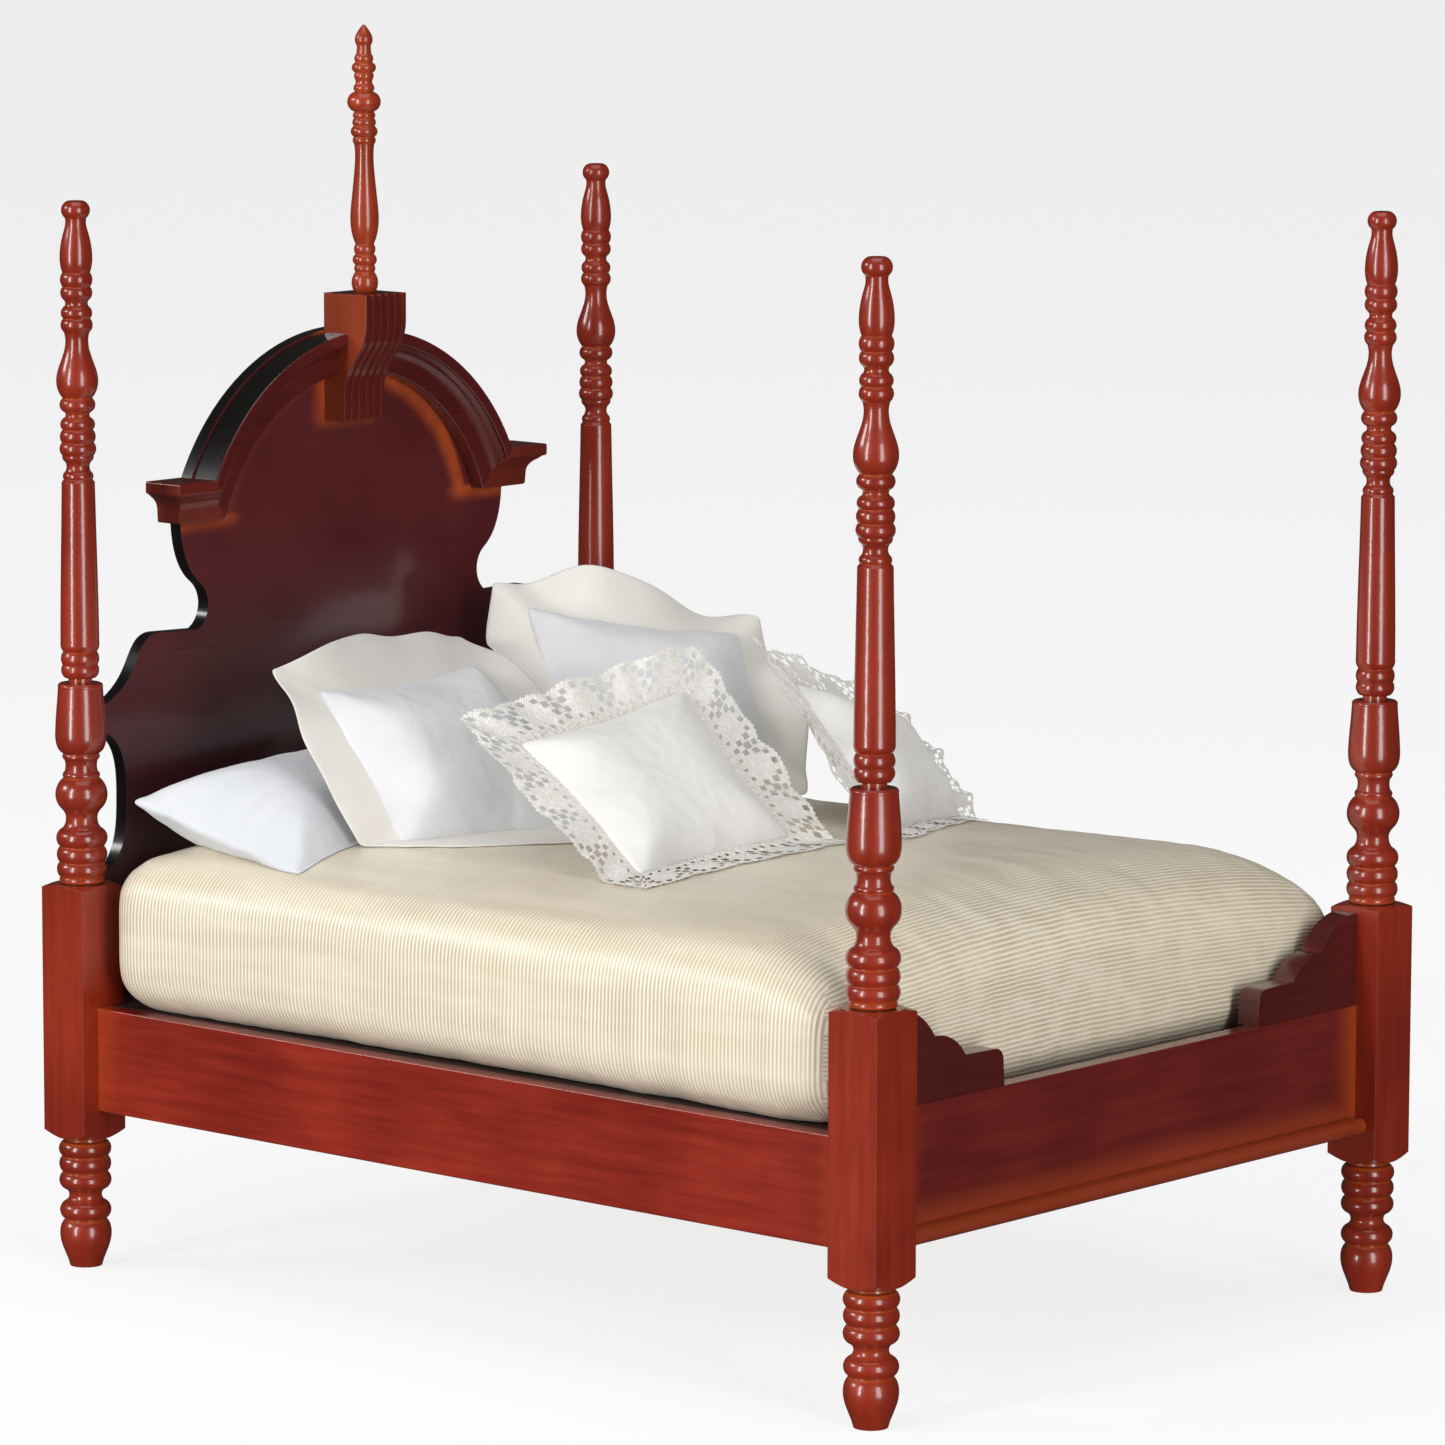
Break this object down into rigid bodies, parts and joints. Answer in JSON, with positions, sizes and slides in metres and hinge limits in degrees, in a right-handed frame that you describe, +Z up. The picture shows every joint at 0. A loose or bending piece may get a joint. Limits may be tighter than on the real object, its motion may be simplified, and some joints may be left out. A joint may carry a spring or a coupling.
{
  "type": "miniature four poster bed",
  "caption": "Dolls house four poster bed: turned posts, arched headboard with crown moulding and finial, scrolled foot, ribbed bedspread and stacked pillows.",
  "frame": {"origin": "middle of the footprint, on the ground under the feet", "axes": "+Z up; +X to the right hand side seen from the foot; +Y from the foot to the headboard"},
  "size_m": [0.1356, 0.1794, 0.2031],
  "materials": {
    "mahogany": "satin mahogany stain and varnish",
    "bare_board": "bare wood",
    "bedspread": "ribbed satin sheen",
    "plain_linen": "soft satin",
    "sham_satin": "soft satin",
    "lace_satin": "satin with lace edge"
  },
  "bodies": {
    "bedstead": {"lower_post_head_left": "mahogany", "lower_post_head_right": "mahogany", "lower_post_foot_left": "mahogany", "lower_post_foot_right": "mahogany", "side_rail_left": "mahogany", "side_rail_right": "mahogany", "foot_rail": "mahogany", "foot_rail_bead": "mahogany", "foot_bracket_left": "mahogany", "foot_bracket_right": "mahogany", "headboard_panel": "mahogany", "arch_moulding_left": "mahogany", "arch_moulding_right": "mahogany", "cornice_left": "mahogany", "cornice_right": "mahogany", "keystone": "mahogany", "bed_board": "bare_board", "ledger_strip_left": "bare_board", "ledger_strip_right": "bare_board"},
    "upper_post_head_left": {"upper_post_head_left": "mahogany"},
    "upper_post_head_right": {"upper_post_head_right": "mahogany"},
    "upper_post_foot_left": {"upper_post_foot_left": "mahogany"},
    "upper_post_foot_right": {"upper_post_foot_right": "mahogany"},
    "finial": {"finial": "mahogany"},
    "mattress": {"mattress": "bedspread"},
    "pillow_plain_left": {"pillow_plain_left": "plain_linen"},
    "pillow_sham_left": {"pillow_sham_left": "sham_satin"},
    "pillow_lace_left": {"pillow_lace_left": "lace_satin"},
    "pillow_plain_right": {"pillow_plain_right": "plain_linen"},
    "pillow_sham_right": {"pillow_sham_right": "sham_satin"},
    "pillow_lace_right": {"pillow_lace_right": "lace_satin"}
  },
  "joints": [
    {"name": "upper_post_head_left_lift", "type": "slide", "parent": "bedstead", "child": "upper_post_head_left", "axis": [0, 0, 1], "range_m": [0, 0.0085]},
    {"name": "upper_post_head_right_lift", "type": "slide", "parent": "bedstead", "child": "upper_post_head_right", "axis": [0, 0, 1], "range_m": [0, 0.0085]},
    {"name": "upper_post_foot_left_lift", "type": "slide", "parent": "bedstead", "child": "upper_post_foot_left", "axis": [0, 0, 1], "range_m": [0, 0.0085]},
    {"name": "upper_post_foot_right_lift", "type": "slide", "parent": "bedstead", "child": "upper_post_foot_right", "axis": [0, 0, 1], "range_m": [0, 0.0085]},
    {"name": "finial_lift", "type": "slide", "parent": "bedstead", "child": "finial", "axis": [0, 0, 1], "range_m": [0, 0.0055]},
    {"name": "mattress_lift", "type": "slide", "parent": "bedstead", "child": "mattress", "axis": [0, 0, 1], "range_m": [0, 0.025]},
    {"name": "pillow_plain_left_lift", "type": "slide", "parent": "mattress", "child": "pillow_plain_left", "axis": [0, 0, 1], "range_m": [0, 0.03]},
    {"name": "pillow_sham_left_lift", "type": "slide", "parent": "pillow_plain_left", "child": "pillow_sham_left", "axis": [0, 0, 1], "range_m": [0, 0.03]},
    {"name": "pillow_lace_left_lift", "type": "slide", "parent": "pillow_sham_left", "child": "pillow_lace_left", "axis": [0, 0, 1], "range_m": [0, 0.03]},
    {"name": "pillow_plain_right_lift", "type": "slide", "parent": "mattress", "child": "pillow_plain_right", "axis": [0, 0, 1], "range_m": [0, 0.03]},
    {"name": "pillow_sham_right_lift", "type": "slide", "parent": "pillow_plain_right", "child": "pillow_sham_right", "axis": [0, 0, 1], "range_m": [0, 0.03]},
    {"name": "pillow_lace_right_lift", "type": "slide", "parent": "pillow_sham_right", "child": "pillow_lace_right", "axis": [0, 0, 1], "range_m": [0, 0.03]}
  ]
}
